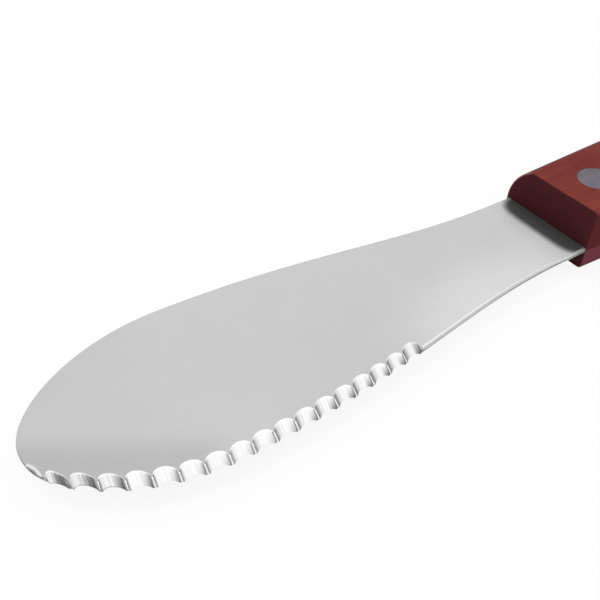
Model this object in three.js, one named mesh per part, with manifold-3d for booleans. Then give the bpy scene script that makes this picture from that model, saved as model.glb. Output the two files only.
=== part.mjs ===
// Butter knife: a flat stamped spreader blade with a scalloped edge, held between two wooden
// scales by three two-part cutlery rivets. Millimetres, +Z up.
//
// The pieces are drawn with X = 0 at the front face of the handle, +X towards the butt, the
// scalloped edge on the -Y side and Z = 0 in the middle of the sheet. The whole knife is then
// moved so that its origin is at the middle of its length, on the surface it lies on.

import * as THREE from 'three';
import { mergeVertices } from 'three/addons/utils/BufferGeometryUtils.js';
import Module from 'manifold-3d';

const wasm = await Module();
wasm.setup();

// Blade outline, measured from the front face of the handle
const BLADE_LENGTH = 95;
const BLADE_THICKNESS = 0.9;
const BLADE_HALF_WIDTH = 15.5;
const TIP_LENGTH = 25.25;
const NECK_HALF_WIDTH = 9.25;
const NECK_LENGTH = 5.6;

// Lengths of the curve handles that draw the outline: neck, belly, shoulder of the tip and tip
const NECK_REACH = 22;
const BELLY_REACH = 27.5;
const TIP_SHOULDER_REACH = 13.7;
const TIP_REACH = 7.35;

// Scalloped edge: each scallop is a hollow groove ground down a bevel of the upper face. The
// grooves all lie in one direction, and none leans along the edge by more than the steepest lean.
// The walls at both ends of the row flare outwards
const SCALLOP_PITCH = 3.3;
const SCALLOP_DEPTH = 1.28;
const SCALLOP_LAND = 0.16;
const SERRATION_START = 39.6;
const PLAIN_TIP = 5.5;
const BEVEL_RUN = 0.9;
const TOOTH_EDGE = 0.42;
const GROOVE_LAY_DEGREES = 5;
const STEEPEST_LEAN = 1;
const END_FLARE = 0.8;

// Last scallops, on the curve of the tip: more spread out, shallower, with shorter bevels and thinner
// teeth, and set back from the edge. Each change grows over a number of scallops, named after it
const SCALLOP_SPREAD = 0.085;
const SPREAD_OVER = 4;
const SCALLOP_SHALLOWING = 0.1;
const BEVEL_SHORTENING = 0.08;
const TOOTH_THINNING = 0.05;
const REDUCED_OVER = 5;
const GROOVE_SETBACK = 0.5;
const SETBACK_OVER = 3;

// Tang, the narrow tail of the blade inside the handle
const TANG_SIDE_WALL = 2.6;
const TANG_END_COVER = 9;
const TANG_CORNER_RADIUS = 4;
const TANG_CLEARANCE = 0.3;

// Handle
const HANDLE_LENGTH = 112;
const HANDLE_FRONT_FAR = 9.9;
const HANDLE_FRONT_NEAR = 9.4;
const HANDLE_FLARE_REACH = 30;
const HANDLE_FLARE_RISE = 1.4;
const HANDLE_BUTT_REACH = 30;
const HANDLE_REAR_FAR = 12.2;
const HANDLE_REAR_NEAR = 11.7;
const BUTT_LENGTH = 20;
const UPPER_SCALE_THICKNESS = 7.8;
const LOWER_SCALE_THICKNESS = 4.15;
const UPPER_FAR_RADIUS = 8.1;
const UPPER_FAR_TURN_DEGREES = 63;
const LOWER_FAR_RADIUS = 2.5;
const LOWER_FAR_TURN_DEGREES = 90;
const NEAR_EDGE_RADIUS = 0.8;
const SEAM_WALL = 0.4;

// Rivets: a headed sleeve from above and a headed post from below, pressed into each other
const RIVET_FROM_FRONT = 8.4;
const RIVET_FROM_BUTT = 18;
const RIVET_OFFSET = -1.9;
const RIVET_HEAD_DIAMETER = 7;
const RIVET_HEAD_THICKNESS = 1.4;
const RIVET_SLEEVE_DIAMETER = 4.6;
const RIVET_POST_DIAMETER = 3;
const RIVET_CLEARANCE = 0.1;
const RIVET_PRESS_CLEARANCE = 0.05;
const RIVET_END_GAP = 0.5;

// Facet counts
const OUTLINE_STEPS = 26;
const GROOVE_STEPS = 9;
const PLAN_STEPS = 11;
const FILLET_STEPS = 5;
const ROUND_STEPS = 24;

// Sizes that follow from the values above
const HALF_SHEET = BLADE_THICKNESS / 2;
const WIDEST_FROM_HANDLE = BLADE_LENGTH - TIP_LENGTH;
const SERRATION_LENGTH = bladeEdge(-1).getLength() - PLAIN_TIP - SERRATION_START;
const SCALLOP_COUNT = Math.ceil(SERRATION_LENGTH / SCALLOP_PITCH);
const TANG_HALF_WIDTH = Math.min(HANDLE_FRONT_FAR, HANDLE_FRONT_NEAR) - TANG_SIDE_WALL;
const TANG_LENGTH = HANDLE_LENGTH - TANG_END_COVER;
const RIVET_REAR = HANDLE_LENGTH - RIVET_FROM_BUTT;
const RIVET_STATIONS = {
  front: RIVET_FROM_FRONT,
  middle: (RIVET_FROM_FRONT + RIVET_REAR) / 2,
  rear: RIVET_REAR,
};
const RIVET_HOLE_RADIUS = RIVET_SLEEVE_DIAMETER / 2 + RIVET_CLEARANCE;
const UPPER_SEAT = UPPER_SCALE_THICKNESS - RIVET_HEAD_THICKNESS;
const LOWER_SEAT = RIVET_HEAD_THICKNESS - LOWER_SCALE_THICKNESS;

// Length by which blanks and cutting shapes run past the faces that they trim
const OVERRUN = UPPER_SCALE_THICKNESS + LOWER_SCALE_THICKNESS;

// A closed geometry as a solid that can be joined and cut
function toSolid(geometry) {
  const bare = geometry.clone();
  bare.deleteAttribute('normal');
  bare.deleteAttribute('uv');
  const merged = mergeVertices(bare);
  const mesh = new wasm.Mesh({
    numProp: 3,
    vertProperties: new Float32Array(merged.attributes.position.array),
    triVerts: new Uint32Array(merged.index.array),
  });
  return new wasm.Manifold(mesh);
}

// A finished solid as a geometry
function toGeometry(solid) {
  const mesh = solid.getMesh();
  const geometry = new THREE.BufferGeometry();
  geometry.setAttribute('position', new THREE.BufferAttribute(mesh.vertProperties, 3));
  geometry.setIndex(new THREE.BufferAttribute(mesh.triVerts, 1));
  geometry.computeVertexNormals();
  return geometry;
}

// A flat plate of the sheet's thickness, centred on the middle of the sheet
function sheetPlate(shape) {
  const options = { depth: BLADE_THICKNESS, bevelEnabled: false, curveSegments: OUTLINE_STEPS };
  return new THREE.ExtrudeGeometry(shape, options).translate(0, 0, -HALF_SHEET);
}

// A round bar along Z between two heights
function roundBar(radius, low, high) {
  const bar = new THREE.CylinderGeometry(radius, radius, high - low, ROUND_STEPS);
  return bar.rotateX(Math.PI / 2).translate(0, 0, (high + low) / 2);
}

// A solid turned about Z from a profile of [radius, height] pairs that starts and ends on the axis
function turned(profile) {
  const points = profile.map(([radius, height]) => new THREE.Vector2(radius, height));
  return new THREE.LatheGeometry(points, ROUND_STEPS).rotateX(Math.PI / 2);
}

// Outline of one long edge from the handle to the tip; side is -1 for the scalloped edge
function bladeEdge(side) {
  const neck = side * NECK_HALF_WIDTH;
  const belly = side * BLADE_HALF_WIDTH;
  const edge = new THREE.Path();
  edge.moveTo(0, neck);
  edge.lineTo(-NECK_LENGTH, neck);
  edge.bezierCurveTo(
    -NECK_LENGTH - NECK_REACH, neck,
    BELLY_REACH - WIDEST_FROM_HANDLE, belly,
    -WIDEST_FROM_HANDLE, belly,
  );
  edge.bezierCurveTo(
    -WIDEST_FROM_HANDLE - TIP_SHOULDER_REACH, belly,
    -BLADE_LENGTH, side * TIP_REACH,
    -BLADE_LENGTH, 0,
  );
  return edge;
}

// The tang's outline from a front station to its rounded end, grown by a clearance
function addTang(shape, clearance) {
  const half = TANG_HALF_WIDTH + clearance;
  const end = TANG_LENGTH + clearance;
  const radius = TANG_CORNER_RADIUS + clearance;
  shape.absarc(end - radius, half - radius, radius, Math.PI / 2, 0, true);
  shape.absarc(end - radius, radius - half, radius, 0, -Math.PI / 2, true);
}

// Blade and tang as stamped from the sheet, before drilling
function sheetShape() {
  const nearPoints = bladeEdge(-1).getPoints(OUTLINE_STEPS);
  const farPoints = bladeEdge(1).getPoints(OUTLINE_STEPS).reverse();
  const shape = new THREE.Shape(nearPoints.concat(farPoints.slice(1)));
  shape.lineTo(0, TANG_HALF_WIDTH);
  addTang(shape, 0);
  shape.lineTo(0, -TANG_HALF_WIDTH);
  return shape;
}

// Number of scallops by which one is into the last ones of the row
function intoLast(index, over) {
  return Math.max(0, index - SCALLOP_COUNT + over);
}

// Distance from the handle, along the near edge, at which a scallop starts
function scallopStart(index) {
  const spread = SCALLOP_SPREAD * intoLast(index, SPREAD_OVER) ** 2;
  return SERRATION_START + index * SCALLOP_PITCH + spread;
}

// Depth of a scallop's groove, seen from above
function scallopDepth(index) {
  return SCALLOP_DEPTH - SCALLOP_SHALLOWING * intoLast(index, REDUCED_OVER);
}

// Width of a scallop's bevel between its grooves, seen from above
function bevelRun(index) {
  return BEVEL_RUN - BEVEL_SHORTENING * intoLast(index, REDUCED_OVER);
}

// Height of the edge at the points between the grooves
function toothEdge(index) {
  return TOOTH_EDGE - TOOTH_THINNING * intoLast(index, REDUCED_OVER);
}

// Distance by which a scallop's groove is set back from the edge, seen from above
function scallopSetback(index) {
  return GROOVE_SETBACK * intoLast(index, SETBACK_OVER);
}

// One scallop: a half-elliptical groove with the bevel opened above it, run down the bevel
function scallopCutter(nearEdge, index) {
  const fall = Math.atan2(BLADE_THICKNESS - toothEdge(index), bevelRun(index));
  const start = scallopStart(index);
  const width = scallopStart(index + 1) - start;
  const grooveHalf = (width - SCALLOP_LAND) / 2;
  const bevelHalf = (width + SCALLOP_LAND) / 2;
  const grooveDepth = scallopDepth(index) * Math.sin(fall);
  const groove = new THREE.Shape();
  groove.moveTo(-bevelHalf - END_FLARE, BLADE_THICKNESS);
  groove.lineTo(-bevelHalf, 0);
  groove.absellipse(0, 0, grooveHalf, grooveDepth, Math.PI, 2 * Math.PI, false);
  groove.lineTo(bevelHalf, 0);
  groove.lineTo(bevelHalf + END_FLARE, BLADE_THICKNESS);

  const inner = (BEVEL_RUN + SCALLOP_DEPTH + BLADE_THICKNESS) / Math.cos(fall);
  const options = { depth: inner + BEVEL_RUN, bevelEnabled: false, curveSegments: GROOVE_STEPS };
  const cutter = new THREE.ExtrudeGeometry(groove, options).translate(0, 0, -inner);

  const place = (start + width / 2) / nearEdge.getLength();
  const point = nearEdge.getPoint(place);
  const tangent = nearEdge.getTangent(place);
  const outward = new THREE.Vector3(-tangent.y, tangent.x, 0);
  const down = outward.clone().multiplyScalar(Math.cos(fall)).setZ(-Math.sin(fall));
  const up = outward.clone().multiplyScalar(Math.sin(fall)).setZ(Math.cos(fall));
  const along = new THREE.Vector3().crossVectors(up, down);
  const lay = THREE.MathUtils.degToRad(GROOVE_LAY_DEGREES);
  const groovesLie = new THREE.Vector3(-Math.sin(lay), -Math.cos(lay), 0);
  const lean = groovesLie.dot(along) / groovesLie.dot(outward);
  const held = THREE.MathUtils.clamp(lean, -STEEPEST_LEAN, STEEPEST_LEAN);
  down.addScaledVector(along, held * Math.cos(fall));
  const foot = new THREE.Vector3(point.x, point.y, toothEdge(index) - HALF_SHEET);
  foot.addScaledVector(outward, scallopSetback(index));
  return cutter.applyMatrix4(new THREE.Matrix4().makeBasis(along, up, down).setPosition(foot));
}

// The blade: sheet with tang, less the rivet holes and the row of scallops
function blade() {
  const nearEdge = bladeEdge(-1);
  let solid = toSolid(sheetPlate(sheetShape()));
  for (const station of Object.values(RIVET_STATIONS)) {
    const hole = roundBar(RIVET_HOLE_RADIUS, -BLADE_THICKNESS, BLADE_THICKNESS);
    solid = solid.subtract(toSolid(hole.translate(station, RIVET_OFFSET, 0)));
  }
  for (let index = 0; index < SCALLOP_COUNT; index += 1) {
    solid = solid.subtract(toSolid(scallopCutter(nearEdge, index)));
  }
  return toGeometry(solid);
}

// Plan of the handle, run past its front face, counter-clockwise from above
function handlePlan() {
  const rear = HANDLE_LENGTH - BUTT_LENGTH;
  const taper = (HANDLE_FLARE_RISE / HANDLE_FLARE_REACH) * OVERRUN;
  const plan = new THREE.Path();
  plan.moveTo(-OVERRUN, taper - HANDLE_FRONT_NEAR);
  plan.lineTo(0, -HANDLE_FRONT_NEAR);
  plan.bezierCurveTo(
    HANDLE_FLARE_REACH, -HANDLE_FRONT_NEAR - HANDLE_FLARE_RISE,
    rear - HANDLE_BUTT_REACH, -HANDLE_REAR_NEAR,
    rear, -HANDLE_REAR_NEAR,
  );
  plan.absellipse(rear, 0, BUTT_LENGTH, HANDLE_REAR_NEAR, -Math.PI / 2, 0, false);
  plan.absellipse(rear, 0, BUTT_LENGTH, HANDLE_REAR_FAR, 0, Math.PI / 2, false);
  plan.bezierCurveTo(
    rear - HANDLE_BUTT_REACH, HANDLE_REAR_FAR,
    HANDLE_FLARE_REACH, HANDLE_FRONT_FAR + HANDLE_FLARE_RISE,
    0, HANDLE_FRONT_FAR,
  );
  plan.lineTo(-OVERRUN, HANDLE_FRONT_FAR - taper);
  return plan;
}

// A scale before drilling: the plan raised from the seam, with its outer edge rounded by an arc
// that is large on the far side, shrinks around the butt and is small on the near side. The arc
// starts upright and turns by a right angle on the near side, and by the far turn on the far side
function scaleBlank(thickness, farRadius, farTurnDegrees) {
  const farTurn = THREE.MathUtils.degToRad(farTurnDegrees);
  const outline = handlePlan().getPoints(PLAN_STEPS);
  const wrap = (index) => outline[(index + outline.length) % outline.length];
  const inward = outline.map((point, index) => {
    const chord = wrap(index + 1).clone().sub(wrap(index - 1)).normalize();
    return new THREE.Vector2(-chord.y, chord.x);
  });
  const arcs = inward.map((normal) => {
    const farness = THREE.MathUtils.smoothstep(-normal.y, -1, 1);
    const turn = THREE.MathUtils.lerp(Math.PI / 2, farTurn, farness);
    const radius = THREE.MathUtils.lerp(NEAR_EDGE_RADIUS, farRadius, farness);
    return { turn, radius: Math.min(radius, (thickness - SEAM_WALL) / Math.sin(turn)) };
  });
  const ring = (insetOf, heightOf) => outline.map((point, index) => {
    const moved = point.clone().addScaledVector(inward[index], insetOf(arcs[index]));
    return new THREE.Vector3(moved.x, moved.y, heightOf(arcs[index]));
  });

  const rings = [ring(() => 0, () => 0)];
  for (let step = 0; step <= FILLET_STEPS; step += 1) {
    const part = step / FILLET_STEPS;
    const inset = ({ turn, radius }) => radius * (1 - Math.cos(part * turn));
    const height = ({ turn, radius }) => thickness - radius * (Math.sin(turn) - Math.sin(part * turn));
    rings.push(ring(inset, height));
  }
  return closedStack(rings);
}

// A closed geometry through a stack of rings, capped at its foot and its top
function closedStack(rings) {
  const count = rings[0].length;
  const faces = [];
  for (let level = 0; level + 1 < rings.length; level += 1) {
    for (let index = 0; index < count; index += 1) {
      const here = level * count + index;
      const next = level * count + ((index + 1) % count);
      faces.push(here, next, next + count, here, next + count, here + count);
    }
  }
  const cap = (ring) => {
    const flat = ring.map((point) => new THREE.Vector2(point.x, point.y));
    return THREE.ShapeUtils.triangulateShape(flat, []);
  };
  const top = (rings.length - 1) * count;
  cap(rings[0]).forEach(([a, b, c]) => faces.push(a, c, b));
  cap(rings[rings.length - 1]).forEach(([a, b, c]) => faces.push(top + a, top + b, top + c));
  const geometry = new THREE.BufferGeometry().setFromPoints(rings.flat());
  geometry.setIndex(faces);
  return geometry;
}

// The same geometry turned upside down about the seam, with its faces still pointing out
function flipped(geometry) {
  geometry.scale(1, 1, -1);
  const faces = Array.from(geometry.index.array);
  for (let corner = 0; corner < faces.length; corner += 3) {
    [faces[corner + 1], faces[corner + 2]] = [faces[corner + 2], faces[corner + 1]];
  }
  geometry.setIndex(faces);
  return geometry;
}

// What both scales lose: the front overrun, the bed of the tang and the stepped rivet holes
function scaleCuts() {
  const reach = 2 * HANDLE_LENGTH;
  const front = new THREE.BoxGeometry(reach, reach, reach).translate(-reach / 2, 0, 0);

  const bed = new THREE.Shape();
  const bedHalf = TANG_HALF_WIDTH + TANG_CLEARANCE;
  bed.moveTo(-OVERRUN, -bedHalf);
  bed.lineTo(-OVERRUN, bedHalf);
  addTang(bed, TANG_CLEARANCE);

  const headRadius = RIVET_HEAD_DIAMETER / 2 + RIVET_CLEARANCE;
  const above = UPPER_SCALE_THICKNESS + OVERRUN;
  const below = -LOWER_SCALE_THICKNESS - OVERRUN;
  let cuts = toSolid(front).add(toSolid(sheetPlate(bed)));
  for (const station of Object.values(RIVET_STATIONS)) {
    const bores = [
      roundBar(RIVET_HOLE_RADIUS, below, above),
      roundBar(headRadius, UPPER_SEAT, above),
      roundBar(headRadius, below, LOWER_SEAT),
    ];
    for (const bore of bores) {
      cuts = cuts.add(toSolid(bore.translate(station, RIVET_OFFSET, 0)));
    }
  }
  return cuts;
}

function upperScale(cuts) {
  const blank = scaleBlank(UPPER_SCALE_THICKNESS, UPPER_FAR_RADIUS, UPPER_FAR_TURN_DEGREES);
  return toGeometry(toSolid(blank).subtract(cuts));
}

function lowerScale(cuts) {
  const upright = scaleBlank(LOWER_SCALE_THICKNESS, LOWER_FAR_RADIUS, LOWER_FAR_TURN_DEGREES);
  const blank = flipped(upright);
  return toGeometry(toSolid(blank).subtract(cuts));
}

// Upper half of a rivet: a flush head on a sleeve that is open below
function rivetSleeve() {
  const head = RIVET_HEAD_DIAMETER / 2;
  const sleeve = RIVET_SLEEVE_DIAMETER / 2;
  const bore = RIVET_POST_DIAMETER / 2 + RIVET_PRESS_CLEARANCE;
  const sleeveEnd = LOWER_SEAT + RIVET_END_GAP;
  return turned([
    [0, UPPER_SEAT],
    [bore, UPPER_SEAT],
    [bore, sleeveEnd],
    [sleeve, sleeveEnd],
    [sleeve, UPPER_SEAT],
    [head, UPPER_SEAT],
    [head, UPPER_SCALE_THICKNESS],
    [0, UPPER_SCALE_THICKNESS],
  ]);
}

// Lower half of a rivet: a flush head on a post that fills the sleeve
function rivetPost() {
  const head = RIVET_HEAD_DIAMETER / 2;
  const post = RIVET_POST_DIAMETER / 2;
  return turned([
    [0, -LOWER_SCALE_THICKNESS],
    [head, -LOWER_SCALE_THICKNESS],
    [head, LOWER_SEAT],
    [post, LOWER_SEAT],
    [post, UPPER_SEAT - RIVET_END_GAP],
    [0, UPPER_SEAT - RIVET_END_GAP],
  ]);
}

function steel() {
  return new THREE.MeshStandardMaterial({ color: 0xcbcbcb, roughness: 0.32, metalness: 1 });
}

function stainedWood() {
  return new THREE.MeshStandardMaterial({ color: 0x7b3a36, roughness: 0.5, metalness: 0 });
}

function rivetMetal() {
  return new THREE.MeshStandardMaterial({ color: 0x8a868c, roughness: 0.42, metalness: 1 });
}

// One named piece of the knife
function piece(name, geometry, material) {
  const mesh = new THREE.Mesh(geometry, material);
  mesh.name = name;
  return mesh;
}

const cuts = scaleCuts();
const knife = new THREE.Group();
knife.add(piece('blade', blade(), steel()));
knife.add(piece('upper_scale', upperScale(cuts), stainedWood()));
knife.add(piece('lower_scale', lowerScale(cuts), stainedWood()));
for (const [place, station] of Object.entries(RIVET_STATIONS)) {
  const sleeve = piece(`${place}_rivet_sleeve`, rivetSleeve(), rivetMetal());
  const post = piece(`${place}_rivet_post`, rivetPost(), rivetMetal());
  for (const half of [sleeve, post]) {
    half.position.set(station, RIVET_OFFSET, 0);
    knife.add(half);
  }
}
knife.position.set((BLADE_LENGTH - HANDLE_LENGTH) / 2, 0, LOWER_SCALE_THICKNESS);

export default knife;
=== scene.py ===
# Butter knife: satin blade with a ground scalloped edge between two stained wooden scales.
# Metres, +X towards the butt of the handle, scalloped edge on the -Y side, +Z up.

import math

import bmesh
import bpy
import numpy as np
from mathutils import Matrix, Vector


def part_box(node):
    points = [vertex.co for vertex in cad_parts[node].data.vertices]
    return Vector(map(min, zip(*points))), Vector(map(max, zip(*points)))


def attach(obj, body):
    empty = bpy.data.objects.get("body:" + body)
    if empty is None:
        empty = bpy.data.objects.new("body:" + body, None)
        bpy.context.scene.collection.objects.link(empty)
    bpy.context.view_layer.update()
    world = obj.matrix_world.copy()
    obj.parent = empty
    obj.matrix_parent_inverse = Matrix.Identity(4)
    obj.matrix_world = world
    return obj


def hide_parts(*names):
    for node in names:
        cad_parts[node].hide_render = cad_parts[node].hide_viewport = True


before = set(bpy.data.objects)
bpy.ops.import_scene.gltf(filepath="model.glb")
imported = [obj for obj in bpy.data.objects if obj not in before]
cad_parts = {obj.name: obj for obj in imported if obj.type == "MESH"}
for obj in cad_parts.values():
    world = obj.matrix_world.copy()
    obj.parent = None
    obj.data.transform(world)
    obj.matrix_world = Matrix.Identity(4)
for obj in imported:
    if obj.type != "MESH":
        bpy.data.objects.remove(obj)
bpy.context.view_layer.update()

MM = 0.001

# Places taken from the solids
blade_low, blade_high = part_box("blade")
upper_low, upper_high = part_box("upper_scale")
lower_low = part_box("lower_scale")[0]
FRONT = upper_low.x
BUTT = upper_high.x
SEAM = upper_low.z
CROWN = upper_high.z
FOOT = lower_low.z
TIP = blade_low.x
SHEET_TOP = blade_high.z
SHEET_UNDER = blade_low.z
SHEET = SHEET_TOP - SHEET_UNDER

# Blade outline: half widths, lengths from the handle and reaches of the curves
BELLY_HALF = blade_high.y
NECK_HALF = 9.25 * MM
NECK_LENGTH = 5.6 * MM
WIDEST_FROM_HANDLE = 69.75 * MM
NECK_REACH = 22 * MM
BELLY_REACH = 27.5 * MM
TIP_SHOULDER_REACH = 13.7 * MM
TIP_REACH = 7.35 * MM

# Scalloped edge, measured along the near edge from the handle
SCALLOP_START = 39.6 * MM
SCALLOP_PITCH = 3.3 * MM
SCALLOP_DEPTH = 1.28 * MM
SCALLOP_LAND = 0.16 * MM
SCALLOPS = 18
BEVEL_RUN = 0.9 * MM
TOOTH_EDGE = 0.42 * MM
FEATHER_EDGE = 0.07 * MM
GROOVE_LAY = math.radians(5)
STEEPEST_LEAN = 1.0
END_WALL = 0.42 * MM
LAY_BLEND = 4 * MM

# Last scallops, on the curve of the tip: spread out, shallower, with shorter bevels and
# thinner teeth, and set back from the edge, each over a number of scallops
SCALLOP_SPREAD = 0.085 * MM
SPREAD_OVER = 4
SCALLOP_SHALLOWING = 0.1 * MM
BEVEL_SHORTENING = 0.08 * MM
TOOTH_THINNING = 0.05 * MM
REDUCED_OVER = 5
GROOVE_SETBACK = 0.5 * MM
SETBACK_OVER = 3

# Stations of the mesh along the edge
NEAR_EDGE_STATIONS = 60
GROOVE_STEPS = 24
FAR_EDGE_STATIONS = 150

# Edges of the sheet
NEAR_CHAMFER = 0.3 * MM
NEAR_CHAMFER_DROP = 0.24 * MM
FAR_EDGE_ROUND = 0.08 * MM
UNDER_ROUND = 0.15 * MM
RIM_ROUND = 0.06 * MM
FLAT_MARGIN = 0.22 * MM

# Finish of the plain edges: share of grinding on the corner and on the side, painted shade on the side
FAR_EDGE_FINISH = (0.0, 0.2, 0.7)
NEAR_EDGE_AT_HANDLE = (0.45, 0.85, 0.95)
NEAR_EDGE_POLISHED = (0.90, 0.65, 0.82)
NECK_EDGE_POLISH = (14 * MM, 28 * MM)

# Share of grinding on the rounded rim of a groove and on its lower edge
RIM_SHARES = (0.35, 0.8, 1.0, 1.0)
FOOT_SHARE = 0.6

# Painted shade on the grooves along the row: numbers of scallops and the values there.
# The flank is where the painted shade on the side of the tip begins, and the reach where that on the
# side of the handle does.
TIP_SIDE_FLANK = ((4, 9), (0.6, 0.85))
TIP_SIDE_SHADE = ((5, 9, 13, 15), (0.6, 0.45, 0.45, 0.0))
HANDLE_SIDE_REACH = ((11, 15, 16), (0.3, -0.1, -0.3))
HANDLE_SIDE_RIM = ((0, 1, 12, 14, 16), (0.5, 0.0, 0.0, 0.4, 0.45))
HANDLE_SIDE_FOOT = ((5, 8, 12, 14, 16), (1.0, 0.4, 0.5, 0.85, 0.95))
FROSTED_SCALLOPS = ((14, 15), (0.0, 1.0))
DARK_WALL_SCALLOPS = ((15, 16), (0.0, 1.0))
FOOT_LINE_SHADE = ((12, 14), (-1.0, 0.6))
FIRST_WALL_SHADE = 0.6
LAST_SCALLOP_SHADE = (-1.0, 1.0, 1.0)

# Tang and its bed in the scales
TANG_HALF = 6.8 * MM
TANG_CORNER = 4 * MM
BED_CLEARANCE = 0.3 * MM

# Handle plan and sections
FRONT_FAR = 9.9 * MM
FRONT_NEAR = 9.4 * MM
REAR_FAR = upper_high.y
REAR_NEAR = -upper_low.y
FLARE_REACH = 30 * MM
FLARE_RISE = 1.4 * MM
BUTT_REACH = 30 * MM
BUTT_LENGTH = 20 * MM
UPPER_FAR_RADIUS = 8.1 * MM
UPPER_FAR_TURN = math.radians(63)
LOWER_FAR_RADIUS = 2.5 * MM
SQUARE_TURN = math.radians(90)
NEAR_RADIUS = 0.8 * MM
FRONT_SOFTENING = 0.35 * MM
SEAM_CHAMFER = 0.04 * MM
OVERRUN = 12 * MM

# Rivets
RIVET_PLACES = ("front", "middle", "rear")
HEAD_THICKNESS = 1.4 * MM
HEAD_SOFTENING = 0.07 * MM
HEAD_CROWN = 0.05 * MM
SLEEVE_RADIUS = 2.3 * MM
POST_RADIUS = 1.5 * MM
PRESS_GAP = 0.05 * MM
HOLE_GAP = 0.02 * MM
END_GAP = 0.5 * MM

# Painted shadow on the blade beside the handle, laid as a dark strip
STRIP_LENGTH = 3.9 * MM
STRIP_HALF = 9.6 * MM
STRIP_MIDDLE = -0.6 * MM
STRIP_SQUARENESS = 6.0

# Painted light on the neck, where the sheet is also less metallic: how far it reaches, and the
# strongest share of the painted light beside the near edge and beside the strip
NECK_POLISH = 46 * MM
NECK_PAINTED_LIGHT_SHARE = 0.42
BESIDE_STRIP_SHARE = 0.5

# Painted shade above the scallops of the tip: a line along them, and the size of the shade
CAST_START = (-101 * MM, -4.5 * MM)
CAST_WAY = (0.857, -0.515)
CAST_WIDTH = 7 * MM
CAST_LENGTH = 26 * MM
CAST_SHARE = 0.75

# Painted sheen beside the near edge, between the scallops and the handle
SHEEN_LEAN = 0.108
SHEEN_LINE = -7.74 * MM
SHEEN_WIDTH = 13 * MM
SHEEN_START = 14 * MM
SHEEN_END = 46 * MM
SHEEN_SHARE = 0.24

# Painted shading of the satin blade, which lightens from the near side of the tip towards the far side
# of the neck
SATIN_LEAN = 0.6
SATIN_FROM = -60 * MM
SATIN_TO = -10 * MM
SATIN_PAINTED_SHADING = (0.955, 1.12)

# Deep scoring on the ground scallops of the tip, in mm along the edge
SCORING_BEGINS = (84.0, 94.0)
SCORING_ENDS = (96.0, 97.5)
GRINDING_LINES_PER_MM = 4.5

# Colours of the steel
SATIN_CLOUDS = ((0.502, 0.502, 0.504, 1), (0.521, 0.521, 0.523, 1))
SATIN_LINES = (0.487, 0.487, 0.489, 1)
# Painted light, laid on the neck, beside the near edge and beside the dark strip
PAINTED_LIGHT = (0.88, 0.88, 0.88, 1)
# Painted shade above the scallops of the tip
PAINTED_TIP_SHADE = (0.36, 0.36, 0.362, 1)
# Painted shadow beside the handle
PAINTED_SHADOW = (0.075, 0.077, 0.076, 1)
GROUND_LINES = (0.81, 0.81, 0.815, 1)
SCORED_LINES = (0.34, 0.34, 0.345, 1)
GROUND_BRIGHT = (0.90, 0.90, 0.90, 1)
# Painted shade on the grooves and on the sides of the plain edges
GROUND_PAINTED_SHADE = (0.13, 0.13, 0.132, 1)

# Colours of the wood: dark and light grain, painted shade on the sides, and end grain darkened by the
# stain and by painted shade
UPPER_STAIN_AND_SHADE = ((0.170, 0.0335, 0.031, 1), (0.225, 0.049, 0.038, 1),
               (0.086, 0.0150, 0.0208, 1), (0.066, 0.0165, 0.0205, 1))
LOWER_STAIN_AND_SHADE = ((0.170, 0.036, 0.044, 1), (0.225, 0.050, 0.054, 1),
               (0.198, 0.051, 0.069, 1), (0.066, 0.0165, 0.0215, 1))
PORE_COLOUR = (0.04, 0.012, 0.010, 1)
# Painted highlight on the softened far edge of the front
PAINTED_RIM_HIGHLIGHT = (0.38, 0.17, 0.17, 1)
WOOD_SPECULAR = 0.006

# Colours of the rivets
RIVET_CLOUDS = ((0.170, 0.152, 0.181, 1), (0.214, 0.194, 0.223, 1))
RIVET_SCRATCHES = (0.28, 0.27, 0.29, 1)

# Relief of the finishes
RELIEF_STRENGTH = 0.2
METAL_RELIEF = 0.02 * MM
WOOD_RELIEF = 0.08 * MM

# Table and light: direction of each light, where it begins and is full, and its strength there
TABLE_HALF = 3.0
TABLE_PAPER = (0.95, 0.95, 0.95, 1)
TABLE_WHITE = 0.88
BROAD_LIGHT = ((0.0, 0.12, 0.99), 0.2, 0.82, 0.33, 1.12)
OVERHEAD_LIGHT = ((0.05, 0.25, 0.97), 0.9, 1.0, 0.0, 1.6)

# Photograph's view
CAMERA_PLACE = (-99.99 * MM, -62.50 * MM, 78.04 * MM)
CAMERA_AIM = (-57.27 * MM, 6.12 * MM, 4.15 * MM)
CAMERA_LENS = 41.09
CAMERA_SENSOR = 36.0
CAMERA_NEAREST = 0.005


# Curves and meshes

def cubic(start, leave, arrive, end, count):
    """Points of a cubic curve, without its first point."""
    t = np.linspace(0.0, 1.0, count + 1)[1:, None]
    s = 1.0 - t
    start, leave, arrive, end = map(np.array, (start, leave, arrive, end))
    return s**3 * start + 3 * s * s * t * leave + 3 * s * t * t * arrive + t**3 * end


def link(name, data):
    """A piece in the scene from a finished mesh, or the camera from its lens."""
    piece = bpy.data.objects.new(name, data)
    bpy.context.scene.collection.objects.link(piece)
    return piece


def mesh_from(name, points, faces):
    """A mesh from points and faces."""
    mesh = bpy.data.meshes.new(name)
    mesh.from_pydata([tuple(p) for p in points], [], faces)
    mesh.update()
    return mesh


def soften(mesh, sharp_angle):
    """Smooth shading, with edges sharper than an angle in degrees kept crisp."""
    mesh.shade_smooth()
    mesh.set_sharp_from_angle(angle=math.radians(sharp_angle))


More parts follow.
